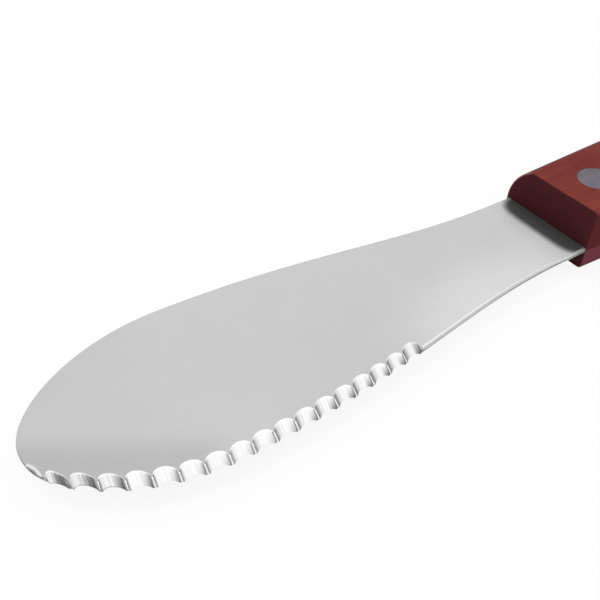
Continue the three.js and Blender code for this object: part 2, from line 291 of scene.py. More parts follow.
def turned(name, profile, centre, steps=96):
    """A solid turned about a vertical axis from (radius, height) pairs that end on the axis."""
    points = []
    faces = []
    rows = []
    for radius, height in profile:
        if radius == 0.0:
            rows.append([len(points)])
            points.append((centre[0], centre[1], height))
            continue
        rows.append(list(range(len(points), len(points) + steps)))
        for step in range(steps):
            angle = 2 * math.pi * step / steps
            x = centre[0] + radius * math.cos(angle)
            y = centre[1] + radius * math.sin(angle)
            points.append((x, y, height))
    for low, high in zip(rows, rows[1:]):
        for step in range(steps):
            after = (step + 1) % steps
            if len(low) == 1:
                faces.append((low[0], high[after], high[step]))
            elif len(high) == 1:
                faces.append((low[step], low[after], high[0]))
            else:
                faces.append((low[step], low[after], high[after], high[step]))
    return mesh_from(name, points, faces)


# Blade

def blade_outline():
    """Outline from the near shoulder round the tip to the far shoulder."""
    neck_end = FRONT - NECK_LENGTH
    widest = FRONT - WIDEST_FROM_HANDLE

    def long_edge(side):
        neck = side * NECK_HALF
        belly = side * BELLY_HALF
        return np.vstack([
            [(FRONT, neck)],
            np.linspace((FRONT, neck), (neck_end, neck), 60)[1:],
            cubic((neck_end, neck), (neck_end - NECK_REACH, neck),
                  (widest + BELLY_REACH, belly), (widest, belly), 900),
            cubic((widest, belly), (widest - TIP_SHOULDER_REACH, belly),
                  (TIP, side * TIP_REACH), (TIP, 0.0), 600),
        ])

    return np.vstack([long_edge(-1), long_edge(1)[::-1][1:]])


OUTLINE = blade_outline()
OUTLINE_RUN = np.concatenate([[0.0], np.cumsum(np.linalg.norm(np.diff(OUTLINE, axis=0), axis=1))])


def on_outline(run):
    """Place on the outline at a run along it."""
    x = np.interp(run, OUTLINE_RUN, OUTLINE[:, 0])
    y = np.interp(run, OUTLINE_RUN, OUTLINE[:, 1])
    return np.array([x, y])


def into_blade(run):
    """Direction square to the edge, into the blade."""
    step = 0.1 * MM
    chord = on_outline(run + step) - on_outline(run - step)
    chord /= np.linalg.norm(chord)
    return np.array([chord[1], -chord[0]])


def bend(corner, start, end, count):
    """Points of a short rounding from start to end around a corner, both ends included."""
    rows = []
    for step in range(count):
        t = step / (count - 1)
        rows.append(tuple((1 - t)**2 * a + 2 * t * (1 - t) * c + t * t * b
                          for a, c, b in zip(start, corner, end)))
    return rows


def edge_section(top, under, sides):
    """A whole section from the top to the underside of the sheet.

    Each row is its depth into the blade, its height, its share of grinding and its painted shade, which
    means frost below zero.
    """
    inner_top = top[0][0] + FLAT_MARGIN
    inner_under = under[-1][0] + FLAT_MARGIN
    flat_top = [(inner_top + FLAT_MARGIN, SHEET_TOP), (inner_top, SHEET_TOP)]
    flat_under = [(inner_under, SHEET_UNDER), (inner_under + FLAT_MARGIN, SHEET_UNDER)]
    return with_share(flat_top, (0.0, 0.0)) + top + sides + under + with_share(flat_under, (0.0, 0.0))


def with_share(points, shares, painted_shade_and_frost=0.0):
    """Rows of a section from its points, with their shares of grinding and their painted shade."""
    return [point + (share, painted_shade_and_frost) for point, share in zip(points, shares)]


def under_rounding(depth, size, share, painted_shade_and_frost=0.0):
    """The softened lower edge of the sheet."""
    corner = (depth, SHEET_UNDER)
    rounding = bend(corner, (depth, SHEET_UNDER + size), (depth + size, SHEET_UNDER), 3)
    return with_share(rounding, (share, share, 0.0), painted_shade_and_frost)


def plain_section(chamfer, drop, share, side_share, edge_side_shade):
    """Section of the edge where it is not ground, with its upper corner taken off."""
    top = [(chamfer * (1 - part), SHEET_TOP - drop * part) for part in (0.0, 0.4, 0.8, 1.0)]
    under = under_rounding(0.0, UNDER_ROUND, 0.0)
    side_rows = 4
    step = (under[0][1] - top[-1][1]) / (side_rows + 1)
    side = [(0.0, top[-1][1] + step * (row + 1)) for row in range(side_rows)]
    sides = with_share(side, [side_share] * side_rows, edge_side_shade)
    return edge_section(with_share(top, (share, share, share, share / 2)), under, sides)


def ground_section(hollow, bevel, tooth, painted_shade_and_frost):
    """Section of a groove that is hollow into the bevel, from its rim to its foot.

    Its painted shade is that of its rim, its foot and the line along its foot.
    """
    rim_shade, foot_shade, line_shade = painted_shade_and_frost
    slope = (SHEET - tooth) / bevel
    top_depth = bevel + hollow
    foot_depth = max(0.0, hollow - (tooth - FEATHER_EDGE) / slope)
    foot_height = SHEET_TOP - slope * (top_depth - foot_depth)
    fall = np.array([foot_depth - top_depth, foot_height - SHEET_TOP])
    length = np.linalg.norm(fall)
    rim = min(RIM_ROUND, length / 4)

    def on_facet(part):
        return tuple(np.array([top_depth, SHEET_TOP]) + part * fall)

    top = bend((top_depth, SHEET_TOP), (top_depth + rim, SHEET_TOP), on_facet(rim / length), 4)
    sides = []
    for part in (1 / 3, 2 / 3, 0.9):
        sides += with_share([on_facet(part)], (1.0,), rim_shade + part**1.4 * (foot_shade - rim_shade))
    sides += with_share([on_facet(1.0)], (1.0,), line_shade)
    rounding = min(UNDER_ROUND, (foot_height - SHEET_UNDER) / 3)
    under = under_rounding(foot_depth, rounding, FOOT_SHARE, line_shade)
    return edge_section(with_share(top, RIM_SHARES, rim_shade), under, sides)


def painted_shoulder_shade(scallop, across):
    """Painted shade on a groove at its rim, its foot and the line along its foot.

    It runs from -1 for frosted to 1 for dark. The place across the groove is -1 on the side of
    the tip and 1 on the side of the handle.
    """
    if scallop == SCALLOPS - 1:
        return LAST_SCALLOP_SHADE
    on_wall = FIRST_WALL_SHADE if scallop == 0 else 0.0
    flank = np.interp(scallop, *TIP_SIDE_FLANK)
    tip_side = np.interp(-across, (flank, 0.93, 0.98, 1.0), (0.0, 1.0, 1.0, 0.0))
    tip_side *= np.interp(scallop, *TIP_SIDE_SHADE)
    reach = np.interp(scallop, *HANDLE_SIDE_REACH)
    handle_side = np.interp(across, (reach, 0.75, 0.98, 1.0), (0.0, 1.0, 1.0, on_wall))
    frost = np.interp(-across, (0.25, 0.6), (0.0, 1.0)) * np.interp(scallop, *FROSTED_SCALLOPS)
    dark_wall = np.interp(-across, (0.8, 0.95), (0.0, 2.0)) * np.interp(scallop, *DARK_WALL_SCALLOPS)
    rim = tip_side + np.interp(scallop, *HANDLE_SIDE_RIM) * handle_side - frost
    foot = tip_side + np.interp(scallop, *HANDLE_SIDE_FOOT) * handle_side - frost + dark_wall
    return rim, foot, max(foot, np.interp(scallop, *FOOT_LINE_SHADE))


def into_last(index, over):
    """Number of scallops by which one is into the last ones of the row."""
    return max(0, index - SCALLOPS + over)


def scallop_start(index):
    """Place of a scallop along the edge; the last ones spread on the curve of the tip."""
    return SCALLOP_START + index * SCALLOP_PITCH + SCALLOP_SPREAD * into_last(index, SPREAD_OVER)**2


def groove_lean(run):
    """Direction of the sections: square to the plain edge, and with the lie of the grooves."""
    square = into_blade(run)
    edgewise = np.array([-square[1], square[0]])
    lie = np.array([math.sin(GROOVE_LAY), math.cos(GROOVE_LAY)])
    lean = np.clip((lie @ edgewise) / (lie @ square), -STEEPEST_LEAN, STEEPEST_LEAN)
    first = SCALLOP_START
    last = scallop_start(SCALLOPS - 1)
    bounds = (first - LAY_BLEND, first, last, last + 2 * LAY_BLEND)
    share = np.interp(run, bounds, (0.0, 1.0, 1.0, 0.0))
    return square + share * lean * edgewise


def edge_stations():
    """Places along the whole edge, each with its section."""
    far_edge = plain_section(FAR_EDGE_ROUND, FAR_EDGE_ROUND, *FAR_EDGE_FINISH)
    at_handle = np.array(NEAR_EDGE_AT_HANDLE)
    polished = np.array(NEAR_EDGE_POLISHED)
    stations = []
    wall = SCALLOP_START + SCALLOP_LAND / 2 - END_WALL
    for run in np.linspace(0.0, wall, NEAR_EDGE_STATIONS):
        polish = np.interp(run, NECK_EDGE_POLISH, (0.0, 1.0))
        finish = at_handle + polish * (polished - at_handle)
        stations.append((run, plain_section(NEAR_CHAMFER, NEAR_CHAMFER_DROP, *finish)))
    for scallop in range(SCALLOPS):
        start = scallop_start(scallop) + SCALLOP_LAND / 2
        width = scallop_start(scallop + 1) - scallop_start(scallop) - SCALLOP_LAND
        reduced = into_last(scallop, REDUCED_OVER)
        depth = SCALLOP_DEPTH - SCALLOP_SHALLOWING * reduced
        bevel = BEVEL_RUN - BEVEL_SHORTENING * reduced
        tooth = TOOTH_EDGE - TOOTH_THINNING * reduced
        setback = GROOVE_SETBACK * into_last(scallop, SETBACK_OVER)
        for step in range(GROOVE_STEPS + 1):
            angle = math.pi * step / GROOVE_STEPS
            hollow = depth * math.sin(angle) - setback
            run = start + width * (1 - math.cos(angle)) / 2
            if bevel + hollow < FAR_EDGE_ROUND:
                stations.append((run, far_edge))
            else:
                painted_shade_and_frost = painted_shoulder_shade(scallop, math.cos(angle))
                stations.append((run, ground_section(hollow, bevel, tooth, painted_shade_and_frost)))
    after_last = scallop_start(SCALLOPS) + SCALLOP_LAND
    for run in np.linspace(after_last, OUTLINE_RUN[-1], FAR_EDGE_STATIONS):
        stations.append((run, far_edge))
    return stations


def tang_outline(clearance=0.0):
    """The tang from the front of the handle to its rounded end, as seen from above."""
    half = TANG_HALF + clearance
    corner = TANG_CORNER + clearance
    end = blade_high.x + clearance
    corner_steps = 16
    points = [(FRONT, -half)]
    for middle, first in ((corner - half, -90), (half - corner, 0)):
        for step in range(corner_steps + 1):
            angle = math.radians(first + 90 * step / corner_steps)
            x = end - corner + corner * math.cos(angle)
            points.append((x, middle + corner * math.sin(angle)))
    points.append((FRONT, half))
    return points


def sheet_plate(name, outline):
    """A plate of the sheet's thickness and height, with the given outline."""
    count = len(outline)
    points = [(x, y, SHEET_UNDER) for x, y in outline] + [(x, y, SHEET_TOP) for x, y in outline]
    faces = [tuple(reversed(range(count))), tuple(range(count, 2 * count))]
    for i in range(count):
        after = (i + 1) % count
        faces.append((i, after, count + after, count + i))
    return link(name, mesh_from(name, points, faces))


def add_tang(points, faces, holes):
    """The drilled tang behind the blade as a plate of its own, butted to the neck."""
    plate = sheet_plate("tang", tang_outline())
    cut_out(plate, holes)
    first = len(points)
    points += [tuple(point.co) for point in plate.data.vertices]
    faces += [tuple(first + i for i in face.vertices) for face in plate.data.polygons]
    bpy.data.objects.remove(plate)


def make_blade(holes):
    """The blade as a skin through the sections of its edge, with its tang."""
    stations = edge_stations()
    row_count = len(stations[0][1])
    points = []
    # Each point also carries painted shade for the grooves and edges, with frost below zero
    marks = {"ground": [], "painted_shade_and_frost": [], "edge_run": []}
    for run, profile in stations:
        here = on_outline(run)
        inward = groove_lean(run)
        for depth, height, share, painted_shade_and_frost in profile:
            x, y = here + depth * inward
            points.append((x, y, height))
            marks["ground"].append(share)
            marks["painted_shade_and_frost"].append(painted_shade_and_frost)
            marks["edge_run"].append(run / MM)
    faces = []
    for station in range(len(stations) - 1):
        for row in range(row_count - 1):
            a = station * row_count + row
            b = a + row_count
            faces.append((a, a + 1, b + 1, b))
    inner = [station * row_count for station in range(len(stations))]
    faces.append(tuple(reversed(inner)))
    faces.append(tuple(i + row_count - 1 for i in inner))
    first = list(range(row_count))
    last = [inner[-1] + row for row in range(row_count)]
    faces.append(tuple(reversed(first)) + tuple(last))
    add_tang(points, faces, holes)
    mesh = mesh_from("blade_ground", points, faces)
    for name, values in marks.items():
        values += [0.0] * (len(points) - len(values))
        mesh.attributes.new(name, "FLOAT", "POINT").data.foreach_set("value", values)
    soften(mesh, sharp_angle=40)
    return link("blade_ground", mesh)


# Handle

def handle_plan():
    """Plan of the handle, run past its front face, counter-clockwise from above."""
    rear = BUTT - BUTT_LENGTH
    slope = FLARE_RISE / FLARE_REACH
    lead = slope * OVERRUN
    turn = np.linspace(0.0, math.pi / 2, 41)[1:, None]
    near_butt = np.hstack([rear + BUTT_LENGTH * np.sin(turn), -REAR_NEAR * np.cos(turn)])
    far_butt = np.hstack([rear + BUTT_LENGTH * np.cos(turn), REAR_FAR * np.sin(turn)])
    return np.vstack([
        [(FRONT - OVERRUN, lead - FRONT_NEAR), (FRONT, -FRONT_NEAR)],
        cubic((FRONT, -FRONT_NEAR), (FRONT + FLARE_REACH, -FRONT_NEAR - FLARE_RISE),
              (rear - BUTT_REACH, -REAR_NEAR), (rear, -REAR_NEAR), 60),
        near_butt,
        far_butt,
        cubic((rear, REAR_FAR), (rear - BUTT_REACH, REAR_FAR),
              (FRONT + FLARE_REACH, FRONT_FAR + FLARE_RISE), (FRONT, FRONT_FAR), 60),
        [(FRONT - OVERRUN, FRONT_FAR - lead)],
    ])


def scale_blank(name, thickness, far_radius, far_turn, way):
    """A scale before drilling, built up from the seam; way is 1 upwards and -1 downwards."""
    plan = handle_plan()
    chord = np.roll(plan, -1, axis=0) - np.roll(plan, 1, axis=0)
    chord /= np.linalg.norm(chord, axis=1)[:, None]
    inward = np.column_stack([-chord[:, 1], chord[:, 0]])
    farness = np.clip((1 - inward[:, 1]) / 2, 0, 1)
    farness = farness * farness * (3 - 2 * farness)
    radius = NEAR_RADIUS + (far_radius - NEAR_RADIUS) * farness
    turn = SQUARE_TURN + (far_turn - SQUARE_TURN) * farness

    fillet_steps = 16
    rings = [(np.full(len(plan), SEAM_CHAMFER), np.zeros(len(plan)))]
    rings.append((np.zeros(len(plan)), np.full(len(plan), SEAM_CHAMFER)))
    for step in range(fillet_steps + 1):
        angle = turn * step / fillet_steps
        height = thickness - radius * (np.sin(turn) - np.sin(angle))
        rings.append((radius * (1 - np.cos(angle)), height))
    rings.append((radius * (1 - np.cos(turn)) + FLAT_MARGIN, np.full(len(plan), thickness)))

    points = []
    for inset, height in rings:
        for place, normal, depth, rise in zip(plan, inward, inset, height):
            x, y = place + depth * normal
            points.append((x, y, SEAM + way * rise))
    count = len(plan)
    faces = [tuple(reversed(range(count)))]
    for ring in range(len(rings) - 1):
        for i in range(count):
            a = ring * count + i
            b = ring * count + (i + 1) % count
            faces.append((a, b, b + count, a + count))
    faces.append(tuple((len(rings) - 1) * count + i for i in range(count)))
    if way < 0:
        faces = [tuple(reversed(face)) for face in faces]
    return mesh_from(name, points, faces)


def in_order(rim):
    """Corner points of a closed chain of edges, one after the other."""
    here = rim[0].verts[0]
    edge = rim[0]
    chain = []
    for _ in rim:
        chain.append(here)
        here = edge.other_vert(here)
        edge = next(e for e in here.link_edges if e in rim and e is not edge)
    return chain


def inset_ways(chain):
    """Directions in which the outline of the front face shrinks.

    Along the seam it only gets narrower.
    """
    outline = np.array([(point.co.y, point.co.z) for point in chain])
    after = np.roll(outline, -1, axis=0)
    before = np.roll(outline, 1, axis=0)
    chord = after - before
    chord /= np.linalg.norm(chord, axis=1)[:, None]
    turning = np.sign(np.sum(outline[:, 0] * after[:, 1] - outline[:, 1] * after[:, 0]))
    inward = turning * np.column_stack([-chord[:, 1], chord[:, 0]])
    at_seam = np.abs(outline[:, 1] - SEAM) < 2 * SEAM_CHAMFER
    inward[at_seam] = np.column_stack([-np.sign(outline[:, 0]), np.zeros(len(chain))])[at_seam]
    return inward


def square_front(mesh):
    """Saws the overrun off and builds the front face up again with softened edges."""
    work = bmesh.new()
    work.from_mesh(mesh)
    everything = work.verts[:] + work.edges[:] + work.faces[:]
    cut = bmesh.ops.bisect_plane(work, geom=everything, plane_co=(FRONT + FRONT_SOFTENING, 0, 0),
                                 plane_no=(-1, 0, 0), clear_outer=True)
    row = in_order([e for e in cut["geom_cut"] if isinstance(e, bmesh.types.BMEdge)])
    outline = [point.co.copy() for point in row]
    ways = inset_ways(row)
    steps = 5
    turns = [math.pi / 2 * step / steps for step in range(1, steps + 1)]
    shares = [(1 - math.cos(turn), 1 - math.sin(turn)) for turn in turns]
    rows = [(FRONT_SOFTENING * inset, FRONT_SOFTENING * set_back) for inset, set_back in shares]
    rows.append((FRONT_SOFTENING + FLAT_MARGIN, 0.0))
    for inset, set_back in rows:
        built = []
        for place, way in zip(outline, ways):
            y, z = place.y + inset * way[0], place.z + inset * way[1]
            built.append(work.verts.new((FRONT + set_back, y, z)))
        for i in range(len(row)):
            after = (i + 1) % len(row)
            work.faces.new((row[i], row[after], built[after], built[i]))
        row = built
    work.faces.new(row)
    bmesh.ops.recalc_face_normals(work, faces=work.faces[:])
    work.to_mesh(mesh)
    work.free()


def tang_bed():
    """What the tang takes out of the scales."""
    first, *around, last = tang_outline(BED_CLEARANCE)
    outline = [(FRONT - OVERRUN, first[1]), *around, (FRONT - OVERRUN, last[1])]
    return sheet_plate("tang_bed", outline)


def rivet_centre(place):
    """Middle of a rivet, as seen from above."""
    low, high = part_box(f"{place}_rivet_sleeve")
    return ((low.x + high.x) / 2, (low.y + high.y) / 2)


def head_radius(place):
    low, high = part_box(f"{place}_rivet_sleeve")
    return (high.x - low.x) / 2


def stepped_hole(place):
    """What the drill takes out of the scales and the tang for one rivet."""
    hole = SLEEVE_RADIUS + HOLE_GAP
    head = head_radius(place) + HOLE_GAP
    under = FOOT - OVERRUN
    above = CROWN + OVERRUN
    lower_seat = FOOT + HEAD_THICKNESS
    upper_seat = CROWN - HEAD_THICKNESS
    profile = [(0.0, under), (head, under), (head, lower_seat), (hole, lower_seat),
               (hole, upper_seat), (head, upper_seat), (head, above), (0.0, above)]
    return link(f"{place}_hole", turned(f"{place}_hole", profile, rivet_centre(place)))


def cut_out(piece, cutters):
    """Takes the cutters' shapes out of a piece for good."""
    for cutter in cutters:
        cut = piece.modifiers.new(cutter.name, "BOOLEAN")
        cut.operation = "DIFFERENCE"
        cut.solver = "EXACT"
        cut.object = cutter
    shaped = piece.evaluated_get(bpy.context.evaluated_depsgraph_get())
    mesh = bpy.data.meshes.new_from_object(shaped)
    piece.modifiers.clear()
    piece.data = mesh


def make_scales(holes):
    """Both scales: shaped, sawn off square at the front, bedded and drilled."""
    bed = tang_bed()
    scales = []
    for name, thickness, far_radius, far_turn, way in (
        ("upper_scale_shaped", CROWN - SEAM, UPPER_FAR_RADIUS, UPPER_FAR_TURN, 1),
        ("lower_scale_shaped", SEAM - FOOT, LOWER_FAR_RADIUS, SQUARE_TURN, -1),
    ):
        mesh = scale_blank(name, thickness, far_radius, far_turn, way)
        square_front(mesh)
        piece = link(name, mesh)
        cut_out(piece, [bed] + holes)
        soften(piece.data, sharp_angle=35)
        scales.append(piece)
    bpy.data.objects.remove(bed)
    return scales


# Rivets

def head_rim(radius, face, seat, way):
    """A head's section from the middle of its slightly domed face round its rim to its seat."""
    rim = bend((radius, face), (radius - HEAD_SOFTENING, face - way * HEAD_CROWN),
               (radius, face - way * (HEAD_SOFTENING + HEAD_CROWN)), 5)
    dome = []
    for part in (0.5, 0.75, 0.9):
        dome.append((radius * part, face - way * HEAD_CROWN * part**4))
    return [(0.0, face)] + dome + rim + [(radius, seat)]


def turned_piece(name, profile, place):
    """A part of a rivet, turned about the rivet's axis."""
    mesh = turned(name, profile, rivet_centre(place))
    soften(mesh, sharp_angle=35)
    return link(name, mesh)


def make_sleeve(place):
    """Headed sleeve, pressed in from above and open below."""
    seat = CROWN - HEAD_THICKNESS
    end = FOOT + HEAD_THICKNESS + END_GAP
    bore = POST_RADIUS + PRESS_GAP
    profile = head_rim(head_radius(place), CROWN, seat, 1)
    profile += [(SLEEVE_RADIUS, seat), (SLEEVE_RADIUS, end), (bore, end), (bore, seat), (0.0, seat)]
    return turned_piece(f"{place}_sleeve_turned", list(reversed(profile)), place)


def make_post(place):
    """Headed post, pressed in from below into the sleeve."""
    seat = FOOT + HEAD_THICKNESS
    end = CROWN - HEAD_THICKNESS - END_GAP
    profile = head_rim(head_radius(place), FOOT, seat, -1)
    profile += [(POST_RADIUS, seat), (POST_RADIUS, end), (0.0, end)]
    return turned_piece(f"{place}_post_turned", profile, place)


# Finishes

class Nodes:
    """Short calls for placing nodes in a material, a group or the world."""

    def __init__(self, tree):
        self.tree = tree

    def add(self, kind, **settings):
        node = self.tree.nodes.new(kind)
        for name, value in settings.items():
            setattr(node, name, value)
        return node

    def join(self, source, target):
        self.tree.links.new(source, target)

    def feed(self, socket, value):
        if isinstance(value, bpy.types.NodeSocket):
            self.join(value, socket)
        else:
            socket.default_value = value

    def math(self, operation, a, b=0.0):
        node = self.add("ShaderNodeMath", operation=operation)
        self.feed(node.inputs[0], a)
        self.feed(node.inputs[1], b)
        return node.outputs[0]

    def times(self, product, *factors):
        for factor in factors:
            product = self.math("MULTIPLY", product, factor)
        return product

    def ramp(self, value, low, high, to_low=0.0, to_high=1.0):
        node = self.add("ShaderNodeMapRange", interpolation_type="SMOOTHSTEP")
        for socket, item in zip(node.inputs, (value, low, high, to_low, to_high)):
            self.feed(socket, item)
        return node.outputs[0]

    def mix(self, share, a, b, blend="MIX"):
        """A mix of colours; of the node's sockets, 6 and 7 take colours and 2 gives one."""
        node = self.add("ShaderNodeMix", data_type="RGBA", blend_type=blend)
        self.feed(node.inputs["Factor"], share)
        self.feed(node.inputs[6], a)
        self.feed(node.inputs[7], b)
        return node.outputs[2]

    def between(self, share, a, b):
        """A mix of values; of the node's sockets, 2 and 3 take values and 0 gives one."""
        node = self.add("ShaderNodeMix", data_type="FLOAT")
        self.feed(node.inputs["Factor"], share)
        self.feed(node.inputs[2], a)
        self.feed(node.inputs[3], b)
        return node.outputs[0]

    def noise(self, vector, scale, detail=2.0, roughness=0.5):
        node = self.add("ShaderNodeTexNoise")
        self.feed(node.inputs["Vector"], vector)
        self.feed(node.inputs["Scale"], scale)
        node.inputs["Detail"].default_value = detail
        node.inputs["Roughness"].default_value = roughness
        return node.outputs[0]

    def stretched(self, vector, scale):
        node = self.add("ShaderNodeVectorMath", operation="MULTIPLY")
        self.feed(node.inputs[0], vector)
        self.feed(node.inputs[1], scale)
        return node.outputs[0]

    def give(self, sockets, **values):
        for label, value in values.items():
            self.join(value, sockets[label.replace("_", " ")])


def new_group(name, inputs, outputs):
    """An empty shader group with named sockets: (name, type, default) in, (name, type) out."""
    group = bpy.data.node_groups.new(name, "ShaderNodeTree")
    for label, kind, default in inputs:
        socket = group.interface.new_socket(label, in_out="INPUT", socket_type=kind)
        socket.default_value = default
    for label, kind in outputs:
        group.interface.new_socket(label, in_out="OUTPUT", socket_type=kind)
    nodes = Nodes(group)
    return group, nodes, nodes.add("NodeGroupInput").outputs, nodes.add("NodeGroupOutput").inputs


def grain_group():
    """Straight grain along the handle: streaks, pores, stain blotches, painted shade on the sides and
    end grain.

    The softened far edge of the front gets a painted highlight.
    """
    group, nodes, given, out = new_group(
        "straight_grain",
        [("Shift", "NodeSocketVector", (0.0, 0.0, 0.0))],
        [("Tone", "NodeSocketFloat"), ("Pores", "NodeSocketFloat"),
         ("Side grain", "NodeSocketFloat"), ("End grain", "NodeSocketFloat"),
         ("Rubbed", "NodeSocketFloat"), ("Height", "NodeSocketFloat")])
    where = nodes.add("ShaderNodeTexCoord")
    shifted = nodes.add("ShaderNodeVectorMath", operation="ADD")
    nodes.join(where.outputs["Object"], shifted.inputs[0])
    nodes.join(given["Shift"], shifted.inputs[1])
    place = shifted.outputs[0]
    streaks = nodes.noise(nodes.stretched(place, (45.0, 900.0, 900.0)), 1.0, 5.0, 0.6)
    blotches = nodes.noise(nodes.stretched(place, (70.0, 150.0, 150.0)), 1.0)
    dashes = nodes.noise(nodes.stretched(place, (150.0, 4200.0, 4200.0)), 1.0)
    pores = nodes.ramp(dashes, 0.60, 0.72)
    tone = nodes.math("ADD", nodes.times(streaks, 0.35), nodes.times(blotches, 0.65))
    height = nodes.math("SUBTRACT", nodes.times(streaks, 0.3), nodes.times(pores, 0.6))

    separate = nodes.add("ShaderNodeSeparateXYZ")
    nodes.join(where.outputs["Normal"], separate.inputs[0])
    facing = separate.outputs
    end_grain = nodes.ramp(nodes.math("ABSOLUTE", facing["X"]), 0.55, 0.97)
    to_front = nodes.times(facing["X"], -1.0)
    softened = nodes.times(nodes.ramp(to_front, 0.2, 0.45), nodes.ramp(to_front, 0.92, 0.99, 1.0, 0.0))
    rim_highlight = nodes.times(softened, nodes.ramp(facing["Y"], 0.1, 0.3))
    # Masks of the near and far sides, where the wood's colour carries painted shade
    near_side = nodes.ramp(nodes.times(facing["Y"], -1.0), 0.5, 0.95)
    far_side = nodes.ramp(facing["Y"], 0.3, 0.6)
    nodes.give(out, Tone=nodes.ramp(tone, 0.32, 0.68), Pores=pores, Rubbed=rim_highlight, Height=height,
               Side_grain=nodes.math("MAXIMUM", near_side, far_side), End_grain=end_grain)
    return group


def brushed_group():
    """Fine lines left by brushing in one direction, with a few deeper scratches."""
    group, nodes, given, out = new_group(
        "brushed_lines",
        [("Stretch", "NodeSocketVector", (200.0, 9000.0, 9000.0)),
         ("Cloud size", "NodeSocketFloat", 120.0)],
        [("Lines", "NodeSocketFloat"), ("Scratches", "NodeSocketFloat"), ("Clouds", "NodeSocketFloat")])
    where = nodes.add("ShaderNodeTexCoord").outputs["Object"]
    stretched = nodes.stretched(where, given["Stretch"])
    deeper = nodes.noise(nodes.stretched(stretched, (0.35, 0.35, 0.35)), 1.0, 0.0)
    nodes.give(out, Lines=nodes.noise(stretched, 1.0, 3.0, 0.6),
               Scratches=nodes.ramp(deeper, 0.72, 0.80),
               Clouds=nodes.noise(where, given["Cloud size"], 3.0))
    return group


def new_material(name):
    """A material with its nodes and its Principled shader."""
    material = bpy.data.materials.new(name)
    material.use_nodes = True
    nodes = Nodes(material.node_tree)
    shader = material.node_tree.nodes["Principled BSDF"]
    return material, nodes, shader


def place_group(nodes, group, **values):
    """Outputs of a group placed in a material, with its inputs set."""
    node = nodes.add("ShaderNodeGroup", node_tree=group)
    for label, value in values.items():
        node.inputs[label.replace("_", " ")].default_value = value
    return node.outputs


def bumped(nodes, shader, height, distance):
    """Gives a shader a fine relief."""
    bump = nodes.add("ShaderNodeBump")
    bump.inputs["Strength"].default_value = RELIEF_STRENGTH
    bump.inputs["Distance"].default_value = distance
    nodes.join(height, bump.inputs["Height"])
    nodes.join(bump.outputs[0], shader.inputs["Normal"])


def painted_shadow_strip(nodes, place, from_handle):
    """Mask of the painted shadow on the blade, a dark strip beside the handle."""
    along = nodes.math("POWER", nodes.math("DIVIDE", from_handle, STRIP_LENGTH), 2.0)
    sideways = nodes.math("ABSOLUTE", nodes.math("SUBTRACT", place["Y"], STRIP_MIDDLE))
    across = nodes.math("POWER", nodes.math("DIVIDE", sideways, STRIP_HALF), STRIP_SQUARENESS)
    return nodes.ramp(nodes.math("ADD", along, across), 0.5, 1.4, 1.0, 0.0)


def painted_light_beside_strip(nodes, place, from_handle):
    """Mask of painted light next to the dark strip, strongest in the middle of the neck."""
    beside = nodes.ramp(from_handle, 0.8 * STRIP_LENGTH, 3.2 * STRIP_LENGTH, BESIDE_STRIP_SHARE, 0.0)
    from_middle = nodes.math("ABSOLUTE", nodes.math("ADD", place["Y"], NECK_HALF / 6))
    return nodes.times(beside, nodes.ramp(from_middle, 0.0, NECK_HALF, 1.0, 0.25))


def painted_edge_sheen(nodes, place, from_handle):
    """Mask of the painted sheen beside the near edge, between the scallops and the handle."""
    line = nodes.math("ADD", nodes.times(place["X"], SHEEN_LEAN), SHEEN_LINE)
    beside = nodes.ramp(nodes.math("SUBTRACT", place["Y"], line), 0.0, SHEEN_WIDTH, 1.0, 0.0)
    begin = nodes.ramp(from_handle, SHEEN_START, 1.8 * SHEEN_START)
    end = nodes.ramp(from_handle, 0.65 * SHEEN_END, SHEEN_END, 1.0, 0.0)
    return nodes.times(beside, begin, end, SHEEN_SHARE)


def painted_tip_shade(nodes, place):
    """Mask of the painted shade above the scallops of the tip."""
    x, y = (nodes.math("SUBTRACT", place[axis], start) for axis, start in zip("XY", CAST_START))
    way_x, way_y = CAST_WAY
    along = nodes.math("ADD", nodes.times(x, way_x), nodes.times(y, way_y))
    away = nodes.math("ADD", nodes.times(x, -way_y), nodes.times(y, way_x))
    near = nodes.ramp(away, 0.1 * CAST_WIDTH, CAST_WIDTH, 1.0, 0.0)
    return nodes.times(near, nodes.ramp(along, 0.7 * CAST_LENGTH, CAST_LENGTH, 1.0, 0.0), CAST_SHARE)


def satin_colour(nodes, lines, place, from_handle, neck):
    """Colour of the brushed sheet, with painted light, painted shade and a painted shadow laid over it.
    """
    satin = nodes.mix(nodes.ramp(lines["Clouds"], 0.3, 0.7), *SATIN_CLOUDS)
    satin = nodes.mix(nodes.ramp(lines["Lines"], 0.25, 0.75, 0.0, 0.5), satin, SATIN_LINES)
    # Painted shading: the sheet lightens from the near side of the tip towards the far side of the neck
    slant = nodes.math("ADD", nodes.times(place["X"], SATIN_LEAN), place["Y"])
    satin = nodes.mix(1.0, satin, nodes.ramp(slant, SATIN_FROM, SATIN_TO, *SATIN_PAINTED_SHADING), "MULTIPLY")
    # Painted light on the near side of the neck
    near_neck = nodes.times(neck, nodes.ramp(place["Y"], -NECK_HALF, NECK_HALF / 3, NECK_PAINTED_LIGHT_SHARE, 0.0))
    for share, colour in (
        (painted_edge_sheen(nodes, place, from_handle), PAINTED_LIGHT),
        (near_neck, PAINTED_LIGHT),
        (painted_light_beside_strip(nodes, place, from_handle), PAINTED_LIGHT),
        (painted_tip_shade(nodes, place), PAINTED_TIP_SHADE),
        (painted_shadow_strip(nodes, place, from_handle), PAINTED_SHADOW),
    ):
        satin = nodes.mix(share, satin, colour)
    return satin


